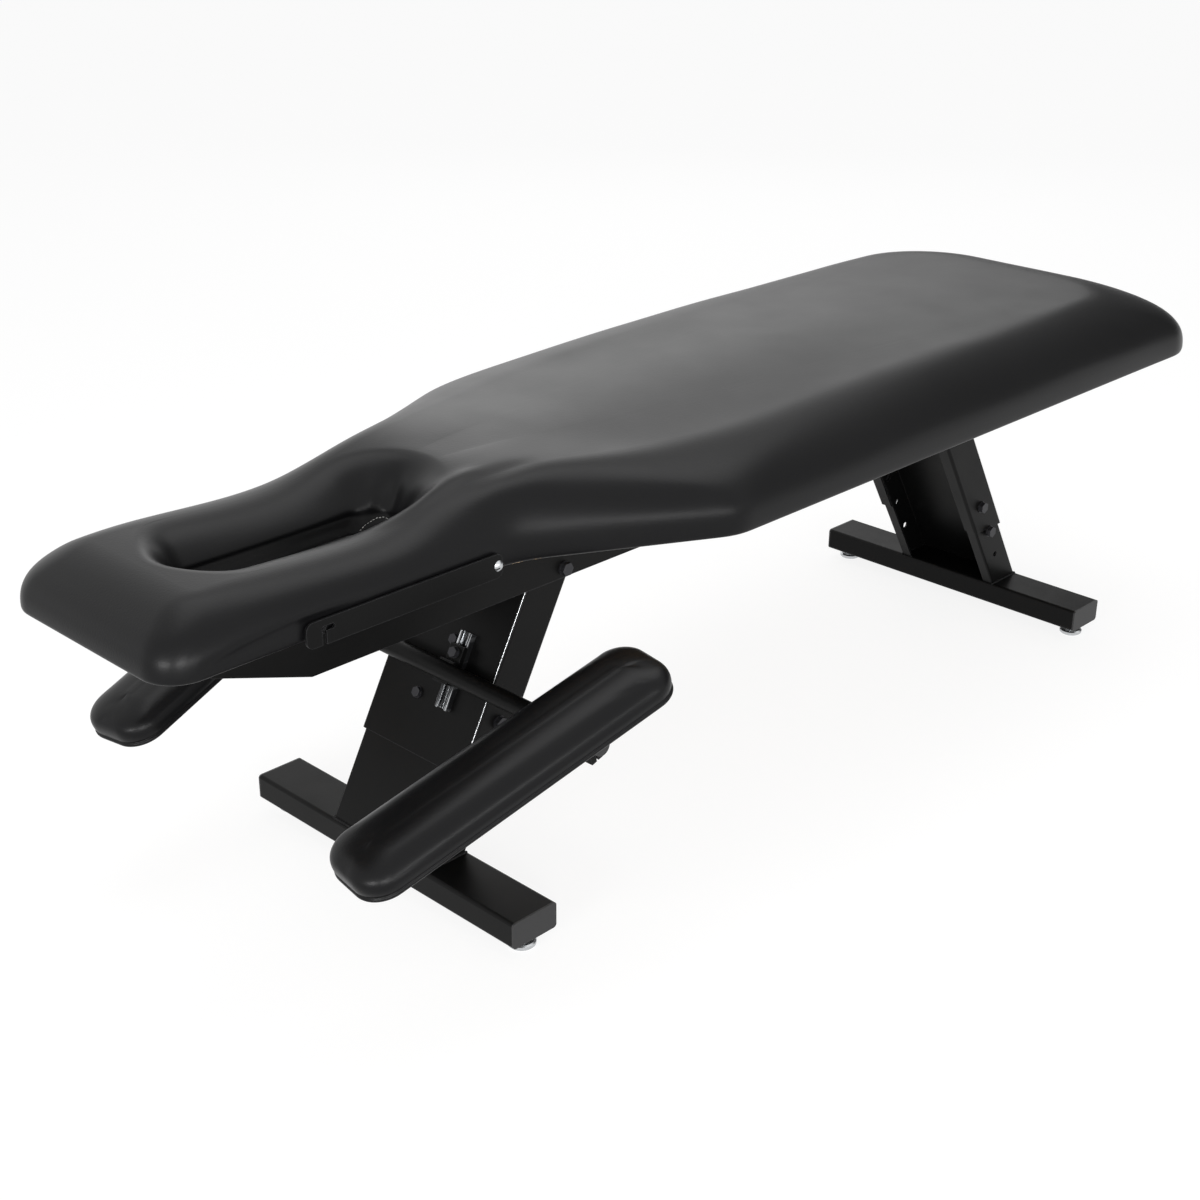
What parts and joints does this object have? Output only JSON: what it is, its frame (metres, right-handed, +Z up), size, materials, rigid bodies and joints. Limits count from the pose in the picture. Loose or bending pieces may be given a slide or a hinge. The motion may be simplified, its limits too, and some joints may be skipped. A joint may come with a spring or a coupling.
{
  "type": "chiropractic_table",
  "caption": "Treatment table with a narrow head, face slot, one-piece black cushion, splayed telescoping steel legs on levelling feet, swivelling armrests and hinged paper bars",
  "frame": {"origin": "on the floor under the middle of the cushion", "axes": "+X from the head end to the foot end, +Y from the near side to the far side, +Z up"},
  "size_m": [1.987, 0.7224, 0.597],
  "materials": {
    "vinyl": "semi-matte grained black vinyl",
    "plywood": "bare birch plywood",
    "frame_paint": "satin black powder coat",
    "bar_paint": "satin black powder coat",
    "black_bolt": "black oxide",
    "zinc": "bright zinc plate",
    "cap_plastic": "moulded black plastic"
  },
  "bodies": {
    "frame": {"cushion": "vinyl", "base_board": "plywood", "side_plate_near": "frame_paint", "side_plate_far": "frame_paint", "cross_members": "frame_paint", "board_screws": "zinc", "front_leg_outer": "frame_paint", "rear_leg_outer": "frame_paint", "front_saddle": "frame_paint", "rear_saddle": "frame_paint", "saddle_bolts": "black_bolt", "front_height_bolts": "black_bolt", "rear_height_bolts": "black_bolt", "web_bolts": "black_bolt", "armrest_track": "zinc", "paper_bar_screws": "zinc", "paper_bar_pins": "zinc"},
    "front_foot": {"front_leg_inner": "frame_paint", "front_foot_beam": "frame_paint", "front_foot_caps": "cap_plastic", "front_foot_nuts": "zinc"},
    "rear_foot": {"rear_leg_inner": "frame_paint", "rear_foot_beam": "frame_paint", "rear_foot_caps": "cap_plastic", "rear_foot_nuts": "zinc"},
    "leveller_front_near": {"glide_front_near": "zinc", "stud_front_near": "zinc"},
    "leveller_front_far": {"glide_front_far": "zinc", "stud_front_far": "zinc"},
    "leveller_rear_near": {"glide_rear_near": "zinc", "stud_rear_near": "zinc"},
    "leveller_rear_far": {"glide_rear_far": "zinc", "stud_rear_far": "zinc"},
    "carriage": {"armrest_tube": "frame_paint", "tube_plugs": "cap_plastic", "armrest_carriage": "frame_paint", "carriage_bolt": "zinc"},
    "bracket_near": {"hub_near": "frame_paint", "hub_bolt_near": "zinc"},
    "bracket_far": {"hub_far": "frame_paint", "hub_bolt_far": "zinc"},
    "armrest_near": {"armrest_board_near": "plywood", "armrest_pad_near": "vinyl", "swivel_bolt_near": "zinc"},
    "armrest_far": {"armrest_board_far": "plywood", "armrest_pad_far": "vinyl", "swivel_bolt_far": "zinc"},
    "bar_near": {"paper_bar_near": "bar_paint"},
    "bar_far": {"paper_bar_far": "bar_paint"}
  },
  "joints": [
    {"name": "front_leg_slide", "type": "slide", "parent": "frame", "child": "front_foot", "axis": [0.4695, 0, 0.8829], "range_m": [-0.0635, 0.0635]},
    {"name": "rear_leg_slide", "type": "slide", "parent": "frame", "child": "rear_foot", "axis": [-0.5195, 0, 0.8545], "range_m": [-0.0635, 0.0635]},
    {"name": "level_front_near", "type": "slide", "parent": "front_foot", "child": "leveller_front_near", "axis": [0, 0, -1], "range_m": [-0.005, 0.01]},
    {"name": "level_front_far", "type": "slide", "parent": "front_foot", "child": "leveller_front_far", "axis": [0, 0, -1], "range_m": [-0.005, 0.01]},
    {"name": "level_rear_near", "type": "slide", "parent": "rear_foot", "child": "leveller_rear_near", "axis": [0, 0, -1], "range_m": [-0.005, 0.01]},
    {"name": "level_rear_far", "type": "slide", "parent": "rear_foot", "child": "leveller_rear_far", "axis": [0, 0, -1], "range_m": [-0.005, 0.01]},
    {"name": "armrest_height", "type": "slide", "parent": "frame", "child": "carriage", "axis": [0.4695, 0, 0.8829], "range_m": [-0.034, 0.018]},
    {"name": "armrest_tilt_near", "type": "hinge", "parent": "carriage", "child": "bracket_near", "pos_m": [-0.49918, -0.289, 0.298], "axis": [0, 1, 0], "range_deg": [-12, 24]},
    {"name": "armrest_tilt_far", "type": "hinge", "parent": "carriage", "child": "bracket_far", "pos_m": [-0.49918, 0.289, 0.298], "axis": [0, 1, 0], "range_deg": [-12, 24]},
    {"name": "armrest_swivel_near", "type": "hinge", "parent": "bracket_near", "child": "armrest_near", "pos_m": [-0.5396, -0.289, 0.3059], "axis": [-0.309, 0, 0.9511], "range_deg": [-12, 18]},
    {"name": "armrest_swivel_far", "type": "hinge", "parent": "bracket_far", "child": "armrest_far", "pos_m": [-0.5396, 0.289, 0.3059], "axis": [-0.309, 0, 0.9511], "range_deg": [-18, 12]},
    {"name": "paper_bar_lift_near", "type": "hinge", "parent": "frame", "child": "bar_near", "pos_m": [-0.523, -0.1698, 0.497], "axis": [0, 1, 0], "range_deg": [0, 70]},
    {"name": "paper_bar_lift_far", "type": "hinge", "parent": "frame", "child": "bar_far", "pos_m": [-0.523, 0.1698, 0.497], "axis": [0, 1, 0], "range_deg": [0, 70]}
  ]
}
